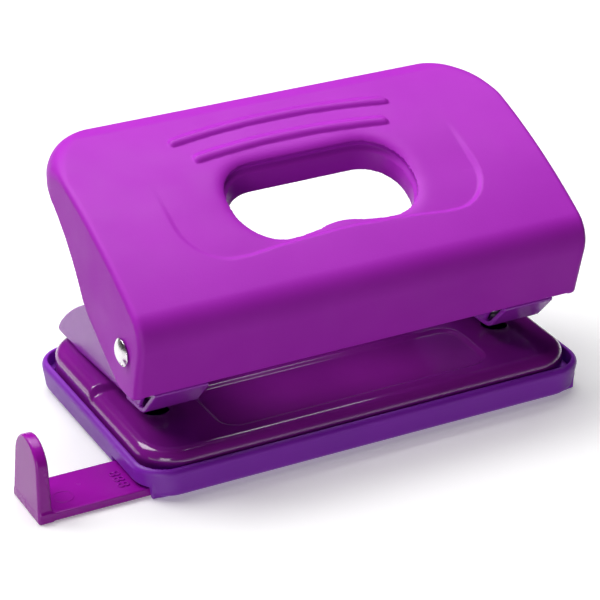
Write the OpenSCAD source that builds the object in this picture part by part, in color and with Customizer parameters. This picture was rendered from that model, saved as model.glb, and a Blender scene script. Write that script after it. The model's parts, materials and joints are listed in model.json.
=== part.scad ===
// Two-hole desk punch. A steel base plate with two pivot brackets snaps into a plastic
// chip tray. A plastic handle turns on two rivets and drives two sprung punch pins.
// Units are millimetres. The origin is the centre of the tray's underside, +Z is up,
// +X runs along the tray and -Y is the side where the paper goes in.

/* [Tray] */
// Length of the chip tray
tray_length = 103.2; // [98:0.2:108]
// Width of the chip tray, front to back
tray_width = 59.2; // [57:0.2:62]
// Height of the tray's side wall
tray_height = 6.8; // [6.4:0.1:8]
// Radius of the tray's corners, seen from above
tray_corner = 7.5; // [5:0.5:9]
// How far the tray's wall leans out from bottom to rim
tray_draft = 0.8; // [0:0.1:1.2]
// Thickness of the tray's upper wall
tray_wall = 1.5; // [1:0.1:1.6]
// Thickness of the tray's floor
tray_floor = 1.2; // [1:0.1:1.6]

/* [Base plate] */
// Gap between the plate's skirt and the tray's wall
plate_gap = 0.5; // [0.3:0.1:0.8]
// Height of the plate's front part, where the paper lies
plate_top = 9.3; // [9:0.1:9.8]
// How far the rear part of the plate is raised to stop the paper
stop_height = 1.4; // [1:0.1:1.6]
// Place of the paper stop behind the middle of the plate
stop_y = 3; // [2:0.5:4]
// Thickness of the plate's steel
plate_sheet = 1.0; // [0.8:0.1:1.2]
// Radius of the plate's corners, seen from above
plate_corner = 9; // [6:0.5:9.5]
// Length of the shallow recess in the plate
recess_length = 63; // [50:1:64]
// Depth of the shallow recess in the plate
recess_depth = 0.6; // [0.3:0.1:0.8]

/* [Punching] */
// Distance between the two holes, 80 mm by ISO 838
hole_spacing = 80; // [78:1:82]
// Distance from the paper's edge to the middle of a hole, 12 mm by ISO 838
edge_distance = 12; // [11:0.5:12]
// Diameter of a punch pin
pin_diameter = 5.5; // [5:0.1:6]
// Length of the straight part of a punch pin
pin_length = 19.5; // [18.8:0.1:19.6]
// Full turn of the handle from rest to pressed, degrees
press_angle = 32; // [26:1:32]

/* [Brackets] */
// Width of a bracket over its two ears
bracket_width = 11.8; // [11.4:0.1:12.4]
// Thickness of a bracket's steel
bracket_sheet = 1.0; // [0.8:0.1:1.1]
// Place of the bracket's front fold, behind the middle of the plate
fold_y = -16; // [-17:0.5:-15]
// Height of the bracket's front fold
fold_z = 13; // [12.8:0.1:13.4]
// Place of the pivot, behind the middle of the plate
pivot_y = -18.8; // [-19:0.1:-18.6]
// Height of the pivot
pivot_z = 29.5; // [29:0.1:30]

/* [Handle] */
// Width of the handle
handle_width = 101.6; // [98:0.2:104]
// Thickness of the handle's shell
handle_shell = 2.2; // [1.8:0.1:2.4]
// Radius of the fold between the handle's front wall and its top
handle_fold = 7; // [6:0.5:8]
// Radius of the crowned top, seen from the side
handle_crown = 143; // [140:1:150]
// Radius of the handle's back corners, seen from above
handle_corner = 13; // [10:0.5:15]
// Length of the finger opening
opening_length = 39.6; // [38:0.2:44]
// Width of the finger opening
opening_width = 17; // [16:0.5:20]

/* [Paper guide] */
// Distance from the middle of the punch to the guide's post
guide_reach = 69.5; // [66:0.5:74]
// Length of the guide's strip
guide_length = 99; // [94:0.5:99]
// Height of the guide's post
post_height = 16.3; // [14:0.1:20]
// Thickness of the guide's post at its foot
post_thickness = 3.0; // [2.4:0.1:3.6]

/* [Hidden] */
$fn = 64;

// Small overlap that makes cuts run past a face
eps = 1;

// Colours
violet = "#7a2fb0";
plum = "#6d1c74";
lavender = "#a55fc0";
magenta = "#b23cc4";
nickel = "#d8d2dc";
steel = "#a9abb2";

// Tray: ledge that carries the plate's skirt
ledge_z = 3.7;
ledge_wall = 2.7;

// Plate
plate_half_x = tray_length / 2 - tray_wall - plate_gap;
plate_half_y = tray_width / 2 - tray_wall - plate_gap;
skirt_z = ledge_z + 0.1;
stop_ramp = 1.6;
recess_y0 = -23.3;
recess_y1 = -5.2;
recess_corner = 5;
recess_half = recess_length / 2;
rear_top = plate_top + stop_height;

// Punch pins and their springs
pin_x = hole_spacing / 2;
pin_y = stop_y - edge_distance;
pin_r = pin_diameter / 2;
arm = pin_y - pivot_y;
half_press = press_angle / 2;
dome_z = pivot_z + arm * tan(half_press);
pin_tip = dome_z - pin_length;
tip_hollow = 5;
groove_z = dome_z - 5.8;
groove_width = 0.9;
groove_r = 2.1;
ring_sheet = 0.8;
ring_r = 4.5;
ring_slot = 3;

// Bracket sheet: the web slopes back from the front fold to a flat rear pad
web_flat_y = 17;
ear_end_y = 27.2;
ear_end_r = 1.5;
web_slope = (fold_z - rear_top) / (web_flat_y - fold_y);
ear_front_y = -13.5;
flare_tip = [-22, 19.7];
flare_turn = atan2(flare_tip[1] - fold_z, flare_tip[0] - fold_y);
flare_length = norm(flare_tip - [fold_y, fold_z]);
boss_r = 4.2;
boss_start = 72.5;
boss_end = 212;

// Guide bush round each pin
bush_bore = pin_r + 0.05;
bush_r = 3.4;
bush_top = 20.5;
bush_flange_r = 4.4;
spring_seat = 14.6;

// Return spring
wire_r = 0.4;
coil_r = 4.0;
coil_turns = 6.5;
ring_steps = 14;
wire_sides = 8;

// Pivot rivets
shank_r = 2.0;
pivot_play = 0.05;
rivet_head_r = 3.1;
rivet_head_h = 1.2;
rivet_gap = 0.3;
washer_r = 3.8;
washer_sheet = 0.5;
tail_r = 2.9;
tail_h = 0.8;
ear_outer_x = pin_x + bracket_width / 2;
ear_inner_x = ear_outer_x - bracket_sheet;

// Rivets that hold the brackets to the plate
joint_rivet_r = 1.5;
joint_rivet_y = 21.5;
joint_rivet_dx = 2.4;
joint_head_r = 2.1;
joint_head_h = 0.8;

// Press pads under the handle, measured along and across the line through the pivot
pad_near = 5.3;
pad_far = 14.7;
pad_gap = pin_r + 0.12;
pad_sheet = 1.2;
pad_width = 8;
rib_sheet = 1.6;

// Handle outline, seen from the side
half_width = handle_width / 2;
back_y = 27.2;
back_r = 6;
lip_z = 49.4;
crown_center = [51.5, -82.14];
fold_center = on_crown(-19.7, handle_fold);
back_center = on_crown(back_y - back_r, back_r);
wall_lean = 14;
wall_foot = 21;
foot = [fold_edge(0)[0] + (fold_edge(0)[1] - wall_foot) * tan(wall_lean), wall_foot];
fold_end = turn_from_crown(fold_center);
crown_end = turn_from_crown(back_center);
opening_y = -4.6;
opening_corner = 8;
collar_wall = 1.8;
collar_depth = 7;
grip_r = 1.1;
grips = [[14.7, 46], [8.6, 40]];
pivot_boss_r = 4.2;
pivot_boss_gap = 0.3;

// Paper guide
guide_mid_y = -18.95;
guide_half = 6.75;
guide_draft = 0.3;
guide_sheet = 1.7;
guide_rim = 0.3;
guide_rim_width = 1.2;
guide_play = 0.3;
post_arch_r = 5.7;
post_draft = 0.6;

// Centre of a circle of radius r that touches the crown from inside, at the given y
function on_crown(y, r) =
    [y, crown_center[1] + sqrt(pow(handle_crown - r, 2) - pow(y - crown_center[0], 2))];

// Direction from the crown's centre to a point
function turn_from_crown(p) = atan2(p[1] - crown_center[1], p[0] - crown_center[0]);

// Point where the front wall meets the fold, moved inwards by the inset
function fold_edge(inset) =
    fold_center + (handle_fold - inset) * [cos(180 + wall_lean), sin(180 + wall_lean)];

// Points on an arc about a centre, from one angle to the other
function arc(center, r, from, to, steps) =
    [for (i = [0:steps]) center + r * [cos(from + (to - from) * i / steps),
                                       sin(from + (to - from) * i / steps)]];

// Points on a cubic curve, without its first point
function curve(a, b, c, d, steps) =
    [for (i = [1:steps]) let (t = i / steps, u = 1 - t)
        u * u * u * a + 3 * u * u * t * b + 3 * u * t * t * c + t * t * t * d];

// Height of the underside of a bracket's web at a given y
function web_z(y) = y > web_flat_y ? rear_top : fold_z - web_slope * (y - fold_y);

// A flat shape with its x along Y and its y along Z, pulled out from x0 to x1
module along_x(x0, x1) {
    translate([x0, 0, 0]) rotate([90, 0, 90]) linear_extrude(x1 - x0) children();
}

// A flat rectangle about the origin with round corners
module round_rectangle(half_x, half_y, r) {
    square([2 * half_x, 2 * (half_y - r)], center = true);
    square([2 * (half_x - r), 2 * half_y], center = true);
    for (sx = [-1, 1], sy = [-1, 1]) translate([sx * (half_x - r), sy * (half_y - r)]) circle(r);
}

// The tray's outer body, with leaning walls and conical corners
module tray_body() {
    hx = tray_length / 2;
    hy = tray_width / 2;
    r = tray_corner;
    along_y_half = hy - r;
    translate([0, along_y_half, 0]) rotate([90, 0, 0]) linear_extrude(2 * along_y_half)
        polygon([[tray_draft - hx, 0], [hx - tray_draft, 0], [hx, tray_height], [-hx, tray_height]]);
    along_x(r - hx, hx - r)
        polygon([[tray_draft - hy, 0], [hy - tray_draft, 0], [hy, tray_height], [-hy, tray_height]]);
    for (sx = [-1, 1], sy = [-1, 1]) translate([sx * (hx - r), sy * (hy - r), 0])
        cylinder(h = tray_height, r1 = r - tray_draft, r2 = r);
}

// Cross-section of the guide's channel; play is zero for the strip itself
module guide_section(play) {
    polygon([[guide_mid_y - guide_half + guide_draft - play, -play],
             [guide_mid_y + guide_half - guide_draft + play, -play],
             [guide_mid_y + guide_half + play, guide_sheet + guide_rim + play],
             [guide_mid_y - guide_half - play, guide_sheet + guide_rim + play]]);
}

module chip_tray() {
    hx = tray_length / 2;
    hy = tray_width / 2;
    channel_end = guide_length - hx + guide_play;
    channel_roof = guide_sheet + guide_rim + guide_play;
    color(violet) difference() {
        union() {
            difference() {
                tray_body();
                translate([0, 0, ledge_z]) linear_extrude(tray_height)
                    round_rectangle(hx - tray_wall, hy - tray_wall, tray_corner - tray_wall);
                translate([0, 0, tray_floor]) linear_extrude(tray_height)
                    round_rectangle(hx - ledge_wall, hy - ledge_wall, tray_corner - ledge_wall);
            }
            // Raised floor over the guide's channel
            translate([ledge_wall - hx - 0.2, guide_mid_y - guide_half - 1.4, 0])
                cube([tray_length - 2 * ledge_wall + 0.4, 2 * guide_half + 2.8, ledge_z]);
        }
        along_x(-hx - eps, channel_end) guide_section(guide_play);
        // Opens the channel downwards
        translate([-hx - eps, guide_mid_y - guide_half + guide_draft - guide_play, -eps])
            cube([channel_end + hx + eps, 2 * (guide_half - guide_draft + guide_play), eps]);
    }
}

// The plate's outer form, moved inwards by the inset
module plate_form(inset) {
    top = plate_top - inset;
    rear = rear_top - inset;
    intersection() {
        translate([0, 0, skirt_z - inset * eps * 2]) linear_extrude(tray_height + rear_top)
            round_rectangle(plate_half_x - inset, plate_half_y - inset, plate_corner - inset);
        along_x(-tray_length, tray_length)
            polygon([[-tray_width, -eps], [tray_width, -eps], [tray_width, rear],
                     [stop_y + inset / 2, rear], [stop_y - stop_ramp + inset / 2, top],
                     [-tray_width, top]]);
    }
}

// The recess in the plate, grown by the given margin
module recess(z, margin) {
    translate([0, (recess_y0 + recess_y1) / 2, z]) linear_extrude(plate_top)
        round_rectangle(recess_half + margin, (recess_y1 - recess_y0) / 2 + margin,
                        recess_corner + margin);
}

module base_plate() {
    color(plum) difference() {
        union() {
            difference() {
                plate_form(0);
                plate_form(plate_sheet);
            }
            intersection() {
                recess(plate_top - recess_depth - plate_sheet, plate_sheet);
                plate_form(plate_sheet / 2);
            }
        }
        recess(plate_top - recess_depth, 0);
        for (s = [-1, 1]) {
            translate([s * pin_x, pin_y, 0]) cylinder(h = rear_top + eps, r = pin_r + 0.08);
            for (d = [-1, 1]) translate([s * pin_x + d * joint_rivet_dx, joint_rivet_y, 0])
                cylinder(h = rear_top + eps, r = joint_rivet_r);
        }
    }
}

// Side view of a bracket's ear
module ear_section() {
    polygon(concat(
        [[ear_front_y, web_z(ear_front_y)], [web_flat_y, rear_top]],
        arc([ear_end_y - ear_end_r, rear_top + ear_end_r], ear_end_r, -90, 0, 6),
        curve([ear_end_y, 12.2], [26.3, 14.6], [17, 23.2], [6, 27], 12),
        arc([pivot_y, pivot_z], boss_r, boss_start, boss_end, 20)));
}

// A bracket, centred on its punch pin
module bracket(x) {
    half = bracket_width / 2;
    web_end = ear_end_y - ear_end_r;
    difference() {
        union() {
            for (x0 = [-half, half - bracket_sheet]) along_x(x + x0, x + x0 + bracket_sheet)
                ear_section();
            along_x(x - half, x + half)
                polygon([[fold_y, fold_z], [web_flat_y, rear_top], [web_end, rear_top],
                         [web_end, rear_top + bracket_sheet],
                         [web_flat_y, rear_top + bracket_sheet],
                         [fold_y + bracket_sheet / 2, fold_z + bracket_sheet]]);
            // Front flange, flared to lead the paper in
            along_x(x - half, x + half) translate([fold_y, fold_z]) rotate(flare_turn)
                polygon([[0, 0], [flare_length, 0], [flare_length, -bracket_sheet],
                         [-0.5, -bracket_sheet]]);
        }
        translate([x, pin_y, 0]) cylinder(h = bush_top, r = bush_r);
        for (d = [-1, 1]) translate([x + d * joint_rivet_dx, joint_rivet_y, 0])
            cylinder(h = bush_top, r = joint_rivet_r);
        // Rivet hole in the outer ear
        translate([sign(x) * (abs(x) + half / 2), pivot_y, pivot_z]) rotate([0, 90, 0])
            cylinder(h = half, r = shank_r, center = true);
    }
}

module left_bracket() {
    color(lavender) bracket(-pin_x);
}

module right_bracket() {
    color(lavender) bracket(pin_x);
}

module bracket_rivets() {
    under = rear_top - plate_sheet;
    over = rear_top + bracket_sheet;
    color(steel) for (s = [-1, 1], d = [-1, 1])
        translate([s * pin_x + d * joint_rivet_dx, joint_rivet_y, 0]) {
            translate([0, 0, under - joint_head_h])
                cylinder(h = over - under + 2 * joint_head_h, r = joint_rivet_r);
            translate([0, 0, under - joint_head_h]) cylinder(h = joint_head_h, r = joint_head_r);
            translate([0, 0, over]) cylinder(h = joint_head_h, r1 = joint_head_r, r2 = 1.4);
        }
}

// Steel bush that is swaged into the bracket's web and guides the pin
module guide_bush(x) {
    difference() {
        translate([x, pin_y, 0]) union() {
            translate([0, 0, fold_z - 2]) cylinder(h = bush_top - fold_z + 2, r = bush_r);
            translate([0, 0, fold_z - 2])
                cylinder(h = spring_seat - fold_z + 2, r = bush_flange_r);
        }
        translate([x, pin_y, 0]) cylinder(h = bush_top + eps, r = bush_bore);
        // Everything below the web, and the flange where the web is
        along_x(x - bracket_width, x + bracket_width)
            polygon([[fold_y, 0], [0, 0], [0, web_z(0)], [fold_y, web_z(fold_y)]]);
        difference() {
            along_x(x - bracket_width, x + bracket_width)
                polygon([[fold_y, web_z(fold_y) - eps], [0, web_z(0) - eps],
                         [0, web_z(0) + bracket_sheet], [fold_y, web_z(fold_y) + bracket_sheet]]);
            translate([x, pin_y, 0]) cylinder(h = bush_top, r = bush_r);
        }
    }
}

module left_guide_bush() {
    color(steel) guide_bush(-pin_x);
}

module right_guide_bush() {
    color(steel) guide_bush(pin_x);
}

// Punch pin with a domed head, a ring groove and a hollow-ground tip
module punch_pin(x) {
    translate([x, pin_y, 0]) difference() {
        union() {
            translate([0, 0, pin_tip]) cylinder(h = pin_length, r = pin_r);
            translate([0, 0, dome_z]) sphere(r = pin_r);
        }
        translate([0, 0, pin_tip - tip_hollow + 0.8]) rotate([0, 90, 0])
            cylinder(h = 4 * pin_r, r = tip_hollow, center = true);
        translate([0, 0, groove_z]) difference() {
            cylinder(h = groove_width, r = pin_r + eps);
            translate([0, 0, -eps]) cylinder(h = groove_width + 2 * eps, r = groove_r);
        }
    }
}

module left_punch_pin() {
    color(nickel) punch_pin(-pin_x);
}

module right_punch_pin() {
    color(nickel) punch_pin(pin_x);
}

// Open spring-steel ring in the pin's groove, which carries the spring's upper end
module retaining_ring(x) {
    translate([x, pin_y, groove_z + (groove_width - ring_sheet) / 2]) difference() {
        cylinder(h = ring_sheet, r = ring_r);
        translate([0, 0, -eps]) cylinder(h = ring_sheet + 2 * eps, r = groove_r + 0.02);
        translate([-ring_slot / 2, -ring_r - eps, -eps])
            cube([ring_slot, ring_r + eps, ring_sheet + 2 * eps]);
    }
}

module left_retaining_ring() {
    color(steel) retaining_ring(-pin_x);
}

module right_retaining_ring() {
    color(steel) retaining_ring(pin_x);
}

// Compression spring between the bush's flange and the retaining ring
module return_spring(x) {
    low = spring_seat + wire_r + 0.05;
    high = groove_z - wire_r - 0.05;
    rings = round(coil_turns * ring_steps);
    points = [for (i = [0:rings]) let (a = 360 * i / ring_steps, z = low + (high - low) * i / rings)
        for (k = [0:wire_sides - 1]) let (b = 360 * k / wire_sides, r = coil_r + wire_r * cos(b))
            [r * cos(a), r * sin(a), z + wire_r * sin(b)]];
    sides = [for (i = [0:rings - 1], k = [0:wire_sides - 1]) let (n = (k + 1) % wire_sides)
        [i * wire_sides + k, i * wire_sides + n, (i + 1) * wire_sides + n, (i + 1) * wire_sides + k]];
    first = [for (k = [wire_sides - 1:-1:0]) k];
    last = [for (k = [0:wire_sides - 1]) rings * wire_sides + k];
    translate([x, pin_y, 0]) polyhedron(points, concat(sides, [first, last]));
}

module left_return_spring() {
    color(steel) return_spring(-pin_x);
}

module right_return_spring() {
    color(steel) return_spring(pin_x);
}

// Rivet with a domed head outside the handle and a peened tail inside the ear
module pivot_rivet(s) {
    head_x = half_width + rivet_gap;
    tail_x = ear_inner_x - washer_sheet - tail_h;
    dome_r = (pow(rivet_head_r, 2) + pow(rivet_head_h, 2)) / (2 * rivet_head_h);
    translate([0, pivot_y, pivot_z]) rotate([0, s * 90, 0]) {
        translate([0, 0, tail_x]) cylinder(h = head_x - tail_x + 0.2, r = shank_r);
        translate([0, 0, tail_x]) cylinder(h = tail_h, r = tail_r);
        intersection() {
            translate([0, 0, head_x + rivet_head_h - dome_r]) sphere(r = dome_r);
            translate([0, 0, head_x]) cylinder(h = rivet_head_h + eps, r = rivet_head_r);
        }
    }
}

module left_pivot_rivet() {
    color(nickel) pivot_rivet(-1);
}

module right_pivot_rivet() {
    color(nickel) pivot_rivet(1);
}

// Washer between the ear and the rivet's tail
module pivot_washer(s) {
    translate([0, pivot_y, pivot_z]) rotate([0, s * 90, 0])
        translate([0, 0, ear_inner_x - washer_sheet]) difference() {
            cylinder(h = washer_sheet, r = washer_r);
            translate([0, 0, -eps]) cylinder(h = washer_sheet + 2 * eps, r = shank_r);
        }
}

module left_pivot_washer() {
    color(nickel) pivot_washer(-1);
}

module right_pivot_washer() {
    color(nickel) pivot_washer(1);
}

// Box in the frame of a press pad: along and across the line through the pivot at rest
module pad_box(x, width, near, far, low, high) {
    translate([x - width / 2, pivot_y, pivot_z]) rotate([half_press, 0, 0])
        translate([0, near, low]) cube([width, far - near, high - low]);
}

module left_press_pad() {
    color(steel) pad_box(-pin_x, pad_width, pad_near, pad_far, pad_gap, pad_gap + pad_sheet);
}

module right_press_pad() {
    color(steel) pad_box(pin_x, pad_width, pad_near, pad_far, pad_gap, pad_gap + pad_sheet);
}

// Handle seen from above: straight front, two round back corners
module handle_plan(inset) {
    r = handle_corner - inset;
    hx = half_width - inset;
    hy = back_y - inset;
    translate([-hx, -2 * back_y]) square([2 * hx, 2 * back_y + hy - r]);
    translate([r - hx, -2 * back_y]) square([2 * (hx - r), 2 * back_y + hy]);
    for (s = [-1, 1]) translate([s * (hx - r), hy - r]) circle(r);
}

// Handle seen from the side, filled down to the lower edge of its cheeks
module handle_side() {
    polygon(concat(
        arc(fold_center, handle_fold, 180 + wall_lean, fold_end, 10),
        arc(crown_center, handle_crown, fold_end, crown_end, 20),
        arc(back_center, back_r, crown_end, 0, 10),
        [[back_y, lip_z], [19, lip_z]],
        curve([19, lip_z], [11.3, 45], [5.8, 39.4], [1.3, 31.6], 10),
        curve([1.3, 31.6], [0, 29.4], [-8, 24.6], [-14.5, 20.8], 8),
        curve([-14.5, 20.8], [-16.5, 19.7], [-21.5, 19.7], foot, 8)));
}

// The hollow inside the handle, open below
module handle_hollow() {
    t = handle_shell;
    edge = fold_edge(t);
    drop = 40;
    intersection() {
        along_x(-half_width, half_width) polygon(concat(
            [edge + drop * [tan(wall_lean), -1]],
            arc(fold_center, handle_fold - t, 180 + wall_lean, fold_end, 10),
            arc(crown_center, handle_crown - t, fold_end, crown_end, 20),
            arc(back_center, back_r - t, crown_end, 0, 10),
            [[back_y - t, edge[1] - drop]]));
        linear_extrude(3 * back_y) handle_plan(t);
    }
    // Level lower edge of the front wall, between the cheeks
    translate([t - half_width, -2 * back_y, 0])
        cube([handle_width - 2 * t, 4 * back_y, wall_foot]);
}

// The finger opening's outline, pulled up through the handle and grown by the margin
module opening_prism(margin) {
    translate([0, opening_y, pivot_z]) linear_extrude(2 * back_y)
        round_rectangle(opening_length / 2 + margin, opening_width / 2 + margin,
                        opening_corner + margin);
}

// Inner ribs that carry a press pad
module press_ribs(x) {
    low = pad_gap + pad_sheet;
    high = 2 * back_y;
    for (s = [-1, 1]) pad_box(x + s * (pad_width - rib_sheet) / 2, rib_sheet,
                              pad_near, pad_far, low, high);
    pad_box(x, pad_width, (pad_near + pad_far - rib_sheet) / 2,
            (pad_near + pad_far + rib_sheet) / 2, low, high);
}

module handle() {
    color(magenta) difference() {
        union() {
            intersection() {
                along_x(-half_width, half_width) handle_side();
                linear_extrude(3 * back_y) handle_plan(0);
                union() {
                    difference() {
                        translate([-half_width, -2 * back_y, 0])
                            cube([handle_width, 4 * back_y, 3 * back_y]);
                        handle_hollow();
                    }
                    // Collar of the finger opening
                    intersection() {
                        opening_prism(collar_wall);
                        difference() {
                            translate([-half_width, -back_y, 0])
                                cube([handle_width, 2 * back_y, 3 * back_y]);
                            along_x(-half_width, half_width)
                                translate([0, -collar_depth]) polygon(concat(
                                    [[-back_y, 0]],
                                    arc(crown_center, handle_crown, fold_end, crown_end, 20),
                                    [[back_y, 0]]));
                        }
                    }
                    for (s = [-1, 1]) press_ribs(s * pin_x);
                }
            }
            // Grip ribs on the top
            for (g = grips) {
                z = on_crown(g[0], 0)[1] - 0.2;
                translate([0, g[0], z]) rotate([0, 90, 0])
                    cylinder(h = g[1], r = grip_r, center = true);
                for (s = [-1, 1]) translate([s * g[1] / 2, g[0], z]) sphere(r = grip_r);
            }
            // Spacer bosses round the rivets
            for (s = [-1, 1]) translate([0, pivot_y, pivot_z]) rotate([0, s * 90, 0])
                translate([0, 0, ear_outer_x + pivot_boss_gap])
                    cylinder(h = half_width - ear_outer_x - pivot_boss_gap - 0.5, r = pivot_boss_r);
        }
        opening_prism(0);
        for (s = [-1, 1]) translate([0, pivot_y, pivot_z]) rotate([0, s * 90, 0])
            translate([0, 0, ear_outer_x])
                cylinder(h = half_width - ear_outer_x + eps, r = shank_r + pivot_play);
    }
}

// Sliding paper stop with a raised front rim and an upright post
module paper_guide() {
    post_x0 = -guide_reach - post_thickness;
    color(magenta) {
        difference() {
            along_x(-guide_reach - eps, guide_length - guide_reach) guide_section(0);
            translate([-guide_reach - eps, guide_mid_y - guide_half + guide_rim_width, guide_sheet])
                cube([guide_length + 2 * eps, 2 * guide_half, guide_sheet]);
        }
        // Post with an arched top, thinner at the top than at the foot
        intersection() {
            along_x(post_x0, -guide_reach) polygon(concat(
                [[guide_mid_y - guide_half, 0], [guide_mid_y + guide_half, 0]],
                arc([guide_mid_y, post_height - post_arch_r], post_arch_r, 10, 170, 16)));
            translate([0, guide_mid_y + 2 * guide_half, 0]) rotate([90, 0, 0])
                linear_extrude(4 * guide_half)
                    polygon([[post_x0, -eps], [-guide_reach + eps, -eps],
                             [-guide_reach + eps, post_height + eps],
                             [post_x0 + post_draft, post_height + eps],
                             [post_x0, 0]]);
        }
    }
}

chip_tray();
base_plate();
left_bracket();
right_bracket();
bracket_rivets();
left_guide_bush();
right_guide_bush();
left_punch_pin();
right_punch_pin();
left_retaining_ring();
right_retaining_ring();
left_return_spring();
right_return_spring();
left_pivot_rivet();
right_pivot_rivet();
left_pivot_washer();
right_pivot_washer();
left_press_pad();
right_press_pad();
handle();
paper_guide();
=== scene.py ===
"""Looks of the two-hole desk punch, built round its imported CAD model.

Every piece is a closed surface, meshed from a signed distance field whose sizes are in
millimetres: negative inside the piece, positive outside. Main sizes and places come from the
CAD nodes' boxes; radii, sheet thicknesses and curves that a box can't tell are named here.
"""

import json
import math

import bpy
import numpy as np
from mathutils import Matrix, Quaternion, Vector


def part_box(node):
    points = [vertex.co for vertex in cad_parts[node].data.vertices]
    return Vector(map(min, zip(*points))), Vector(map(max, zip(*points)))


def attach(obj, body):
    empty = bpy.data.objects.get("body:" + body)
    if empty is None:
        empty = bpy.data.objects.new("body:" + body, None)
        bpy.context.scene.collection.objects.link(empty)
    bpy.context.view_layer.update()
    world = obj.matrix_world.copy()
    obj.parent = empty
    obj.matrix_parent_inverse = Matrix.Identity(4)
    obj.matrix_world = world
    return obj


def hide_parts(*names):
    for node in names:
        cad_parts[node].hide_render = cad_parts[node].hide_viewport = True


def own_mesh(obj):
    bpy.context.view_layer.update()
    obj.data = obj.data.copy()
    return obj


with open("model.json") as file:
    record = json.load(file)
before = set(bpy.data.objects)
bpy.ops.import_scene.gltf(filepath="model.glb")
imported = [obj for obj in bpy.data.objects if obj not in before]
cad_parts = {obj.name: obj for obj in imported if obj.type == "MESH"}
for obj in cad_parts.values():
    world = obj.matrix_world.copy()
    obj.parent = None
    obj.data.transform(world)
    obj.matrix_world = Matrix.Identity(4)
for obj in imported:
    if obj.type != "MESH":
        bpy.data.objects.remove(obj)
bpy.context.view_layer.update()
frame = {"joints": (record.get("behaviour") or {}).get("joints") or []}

MM = 0.001
SIDES = {"left": -1, "right": 1}


# ---------------------------------------------------------------- distance fields


def smooth(t):
    """Smooth step from 0 to 1."""
    t = np.clip(t, 0, 1)
    return t * t * (3 - 2 * t)


def round_and(a, b, r):
    """What is inside both a and b, with the edge between them rounded to radius r."""
    return np.minimum(-r, np.maximum(a, b)) + np.hypot(np.maximum(a + r, 0), np.maximum(b + r, 0))


def round_or(a, b, r):
    """What is inside a or b, with a fillet of radius r between them."""
    return -round_and(-a, -b, r)


def round_cut(a, b, r):
    """What is inside a and outside b, with its edge rounded."""
    return round_and(a, -b, r)


def soft_and(a, b, k):
    """What is inside both a and b, with a soft edge that starts at about k from it."""
    near = np.maximum(k - np.abs(a - b), 0) / k
    return np.maximum(a, b) + near**3 * k / 6


def rectangle(u, v, half_u, half_v, r=0.0):
    """A rectangle about the origin with corners of radius r."""
    du = np.abs(u) - half_u + r
    dv = np.abs(v) - half_v + r
    return np.hypot(np.maximum(du, 0), np.maximum(dv, 0)) + np.minimum(np.maximum(du, dv), 0) - r


def slab(u, low, high):
    """What lies between two parallel planes."""
    return np.maximum(low - u, u - high)


def outline(points):
    """A closed outline through the points, as a field of two coordinates."""
    corners = np.array(points, float)

    def field(u, v):
        u, v = np.broadcast_arrays(u, v)
        nearest = np.full(u.shape, np.inf)
        inside = np.zeros(u.shape, bool)
        for a, b in zip(corners, np.roll(corners, -1, 0), strict=True):
            edge = b - a
            du, dv = u - a[0], v - a[1]
            t = np.clip((du * edge[0] + dv * edge[1]) / (edge @ edge), 0, 1)
            nearest = np.minimum(nearest, (du - t * edge[0]) ** 2 + (dv - t * edge[1]) ** 2)
            if edge[1]:
                crosses = ((a[1] > v) != (b[1] > v)) & (du < edge[0] * dv / edge[1])
                inside ^= crosses
        return np.where(inside, -1, 1) * np.sqrt(nearest)

    return field


def path_distance(u, v, points):
    """Distance to an open path through the points."""
    nearest = np.inf
    for a, b in zip(points[:-1], points[1:], strict=True):
        edge = np.subtract(b, a)
        du, dv = u - a[0], v - a[1]
        t = np.clip((du * edge[0] + dv * edge[1]) / (edge @ edge), 0, 1)
        nearest = np.minimum(nearest, np.hypot(du - t * edge[0], dv - t * edge[1]))
    return nearest


def curve(a, b, c, d, steps=16):
    """Points on a cubic curve, without its first point."""
    t = np.linspace(0, 1, steps + 1)[1:, None]
    a, b, c, d = (np.array(p, float) for p in (a, b, c, d))
    return list((1 - t) ** 3 * a + 3 * (1 - t) ** 2 * t * b + 3 * (1 - t) * t**2 * c + t**3 * d)


def arc(center, r, start, end, steps=24):
    """Points on an arc, between two angles in degrees."""
    angles = np.radians(np.linspace(start, end, steps + 1))
    return [np.array(center) + r * np.array([math.cos(a), math.sin(a)]) for a in angles]


# ---------------------------------------------------------------- meshing

CORNERS = [(i, j, k) for i in (0, 1) for j in (0, 1) for k in (0, 1)]
CELL_EDGES = [
    (a, b)
    for a in range(8)
    for b in range(a + 1, 8)
    if sum(abs(p - q) for p, q in zip(CORNERS[a], CORNERS[b], strict=True)) == 1
]
SETTLE_ROUNDS = 3
PROBE = 0.02


def gradient(field, points):
    """Direction in which the field grows fastest at each point, by central differences."""
    slopes = []
    for axis in range(3):
        shift = np.zeros(3)
        shift[axis] = PROBE
        ahead, behind = points + shift, points - shift
        slopes.append((field(*ahead.T) - field(*behind.T)) / (2 * PROBE))
    return np.stack(slopes, 1)


def settle(field, points, reach):
    """Moves the points onto the surface, by no more than reach in each round."""
    slope = gradient(field, points)
    size = np.maximum((slope**2).sum(1), 0.05)
    move = -(field(*points.T) / size)[:, None] * slope
    length = np.maximum(np.linalg.norm(move, axis=1), 1e-9)[:, None]
    return points + move * np.minimum(1, reach / length)


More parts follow.
